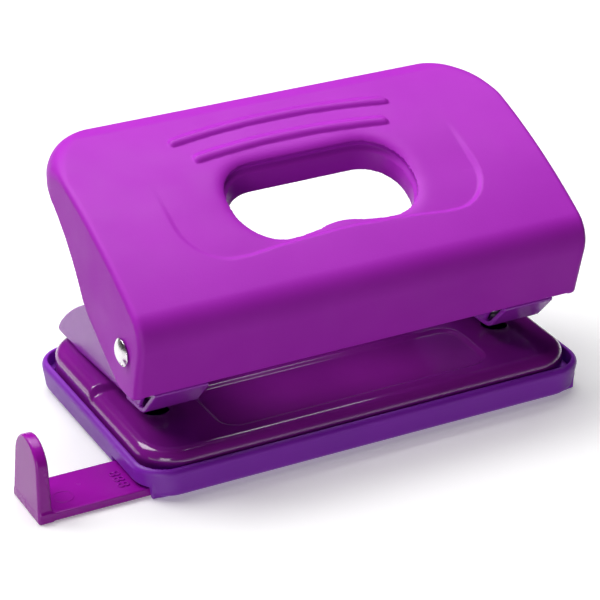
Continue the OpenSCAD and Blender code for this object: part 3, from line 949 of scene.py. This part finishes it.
handle_plastic = moulded(
    "handle_plastic", (0.48, 0.019, 0.60), (0.51, 0.023, 0.63),
    roughness=0.50, grain=3200, grain_depth=0.00007, specular=0.25,
)
tray_plastic = moulded(
    "tray_plastic", (0.26, 0.016, 0.52), (0.29, 0.020, 0.56),
    roughness=0.42, grain=2600, grain_depth=0.00005, specular=0.45,
)
guide_plastic = moulded(
    "guide_plastic", (0.37, 0.006, 0.41), (0.41, 0.008, 0.45),
    roughness=0.24, grain=1400, grain_depth=0.00002, specular=0.35,
)
plate_paint = enamel("plate_paint", (0.28, 0.014, 0.33), (0.31, 0.017, 0.36), 0.16)
# Painted light: the brackets carry the plate's enamel, made paler and bluer than the plate to paint in
# the light that their ears catch.
bracket_paint = enamel("bracket_paint", (0.34, 0.024, 0.50), (0.38, 0.028, 0.54), 0.24, 0.1)
rivet_nickel = steel("rivet_nickel", (0.86, 0.82, 0.85), (0.70, 0.66, 0.70), 0.22, (1, 1, 1), 700)
fastener_steel = steel("fastener_steel", (0.60, 0.60, 0.63), (0.45, 0.44, 0.45), 0.34, (1, 1, 4))
bare_steel = steel("bare_steel", (0.52, 0.52, 0.55), (0.38, 0.37, 0.37), 0.32, (1, 1, 6))
pin_steel = steel("pin_steel", (0.68, 0.68, 0.71), (0.56, 0.55, 0.56), 0.2, (1, 1, 14))
spring_steel = steel("spring_steel", (0.46, 0.46, 0.49), (0.30, 0.29, 0.29), 0.3, (2, 2, 2))


# ---------------------------------------------------------------- pieces


def place(piece, body, slot, material, *nodes):
    """Puts a finished piece on its body, in place of the CAD nodes it stands for."""
    piece.data.materials.append(material)
    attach(piece, body)
    if nodes:
        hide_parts(*nodes)


def shell_piece(name, body, slot, material, field, step, keep):
    """A piece that fills the box of the CAD node that it stands for."""
    low, high = span(name)
    piece = sculpt(name + "_shell", field, low, high, step, keep)
    spots = np.clip(spots_of(piece.data), low * MM, high * MM)
    piece.data.vertices.foreach_set("co", spots.ravel())
    place(piece, body, slot, material, name)


shell_piece("handle", "handle", "handle_plastic", handle_plastic, handle_field, 0.45, 0.3)
shell_piece("chip_tray", "tray", "tray_plastic", tray_plastic, tray_field, 0.42, 0.22)
shell_piece("base_plate", "chassis", "plate_paint", plate_paint, plate_field, 0.42, 0.3)
shell_piece("paper_guide", "guide", "guide_plastic", guide_plastic, guide_field, 0.3, 0.2)
shell_piece("bracket_rivets", "chassis", "fastener_steel", fastener_steel, joint_rivet_field, 0.2, 0.5)

for side, s in SIDES.items():
    small = [
        ("bracket", "chassis", "bracket_paint", bracket_paint, bracket_field(s), 0.28, 0.25),
        ("punch_pin", f"{side}_pin", "pin_steel", pin_steel, pin_field(s), 0.2, 0.5),
        ("guide_bush", "chassis", "bare_steel", bare_steel, bush_field(s), 0.2, 0.5),
        ("retaining_ring", f"{side}_pin", "spring_steel", spring_steel, ring_field(s), 0.15, 0.4),
        ("pivot_rivet", "chassis", "rivet_nickel", rivet_nickel, rivet_field(s), 0.15, 0.5),
        ("pivot_washer", "chassis", "fastener_steel", fastener_steel, washer_field(s), 0.15, 0.4),
        ("press_pad", "handle", "bare_steel", bare_steel, pad_field(s), 0.2, 0.3),
    ]
    for part, *rest in small:
        shell_piece(f"{side}_{part}", *rest)
    spring = spring_mesh(f"{side}_return_spring_coil", s)
    place(spring, "chassis", "spring_steel", spring_steel, f"{side}_return_spring")
    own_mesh(spring)

low_z, high_z = STRIP_TOP - MARK_MARGIN["below"], STRIP_TOP + MARK_MARGIN["above"]
numbers = sculpt("guide_numbers", numeral_field, (MARK_X - 1.3, -22.8, low_z),
                 (MARK_X + 1.3, -16.1, high_z), 0.05, 0.4)
place(numbers, "guide", "guide_plastic", guide_plastic)
gate_reach = GATE_RING["r"] + 0.3
gate = sculpt("guide_gate_mark", gate_field, (GATE[0] - gate_reach, GATE[1] - gate_reach, low_z),
              (GATE[0] + gate_reach, GATE[1] + gate_reach, high_z), 0.07, 0.4)
place(gate, "guide", "guide_plastic", guide_plastic)


# ---------------------------------------------------------------- camera, floor and light


def add_camera():
    azimuth, elevation, roll = (math.radians(a) for a in (27.679, 27.302, 0.194))
    target = Vector((1.947, 8.270, 15.940)) * MM
    back = Vector((-math.sin(azimuth) * math.cos(elevation),
                   -math.cos(azimuth) * math.cos(elevation), math.sin(elevation)))
    data = bpy.data.cameras.new("camera")
    data.lens, data.sensor_width = 151.24, 36
    data.clip_start, data.clip_end = 0.02, 20
    camera = bpy.data.objects.new("camera", data)
    bpy.context.scene.collection.objects.link(camera)
    camera.rotation_mode = "QUATERNION"
    camera.rotation_quaternion = back.to_track_quat("Z", "Y") @ Quaternion((0, 0, 1), roll)
    camera.location = target + back * 0.53644
    bpy.context.scene.camera = camera


def add_floor():
    mesh = bpy.data.meshes.new("floor")
    half = 4.0
    corners = [(-half, -half, 0), (half, -half, 0), (half, half, 0), (-half, half, 0)]
    mesh.from_pydata(corners, [], [(0, 1, 2, 3)])
    floor = bpy.data.objects.new("floor", mesh)
    bpy.context.scene.collection.objects.link(floor)
    paint = bpy.data.materials.new("floor")
    paint.use_nodes = True
    shader = paint.node_tree.nodes["Principled BSDF"]
    shader.inputs["Base Color"].default_value = (0.9, 0.9, 0.9, 1)
    shader.inputs["Roughness"].default_value = 0.9
    shader.inputs["Specular IOR Level"].default_value = 0.0
    shader.inputs["Emission Color"].default_value = (1, 1, 1, 1)
    shader.inputs["Emission Strength"].default_value = 0.24
    mesh.materials.append(paint)
    floor.visible_diffuse = False
    floor.visible_shadow = False


def add_softbox(name, azimuth, elevation, distance, size, power):
    """A square soft light that faces the middle of the object."""
    a, e = math.radians(azimuth), math.radians(elevation)
    out = Vector((math.sin(a) * math.cos(e), -math.cos(a) * math.cos(e), math.sin(e)))
    data = bpy.data.lights.new(name, "AREA")
    data.shape, data.size, data.energy = "SQUARE", size, power
    light = bpy.data.objects.new(name, data)
    light.location = out * distance + Vector((0, 0, 0.03))
    light.rotation_mode = "QUATERNION"
    light.rotation_quaternion = out.to_track_quat("Z", "Y")
    bpy.context.scene.collection.objects.link(light)


def add_world():
    """A dim studio with a pale band near the horizon."""
    world = bpy.data.worlds.new("studio")
    world.use_nodes = True
    tree = world.node_tree
    coordinates = tree.nodes.new("ShaderNodeTexCoord")
    split = tree.nodes.new("ShaderNodeSeparateXYZ")
    ramp = tree.nodes.new("ShaderNodeValToRGB")
    up = tree.nodes.new("ShaderNodeMapRange")
    up.inputs["From Min"].default_value = -1
    tree.links.new(coordinates.outputs["Generated"], split.inputs["Vector"])
    tree.links.new(split.outputs["Z"], up.inputs["Value"])
    tree.links.new(up.outputs["Result"], ramp.inputs["Fac"])
    tree.links.new(ramp.outputs["Color"], tree.nodes["Background"].inputs["Color"])
    stops = [(0.0, 0.0), (0.48, 0.2), (0.62, 0.0), (1.0, 0.0)]
    for position, level in stops[1:-1]:
        ramp.color_ramp.elements.new(position).color = (level, level, level, 1)
    ramp.color_ramp.elements[0].color = (stops[0][1],) * 3 + (1,)
    ramp.color_ramp.elements[-1].color = (stops[-1][1],) * 3 + (1,)
    tree.nodes["Background"].inputs["Strength"].default_value = 1.0
    bpy.context.scene.world = world


add_camera()
add_floor()
add_world()
add_softbox("front", -45, 6, 0.9, 0.36, 1.7)
add_softbox("floor_bounce", -30, -35, 0.9, 0.6, 1.45)
add_softbox("back_top", 150, 70, 0.9, 0.6, 5.2)
add_softbox("side_top", 210, 70, 0.9, 0.6, 1.2)
add_softbox("back_left", 225, 50, 0.9, 0.5, 5.2)
bpy.context.scene.view_settings.view_transform = "Standard"
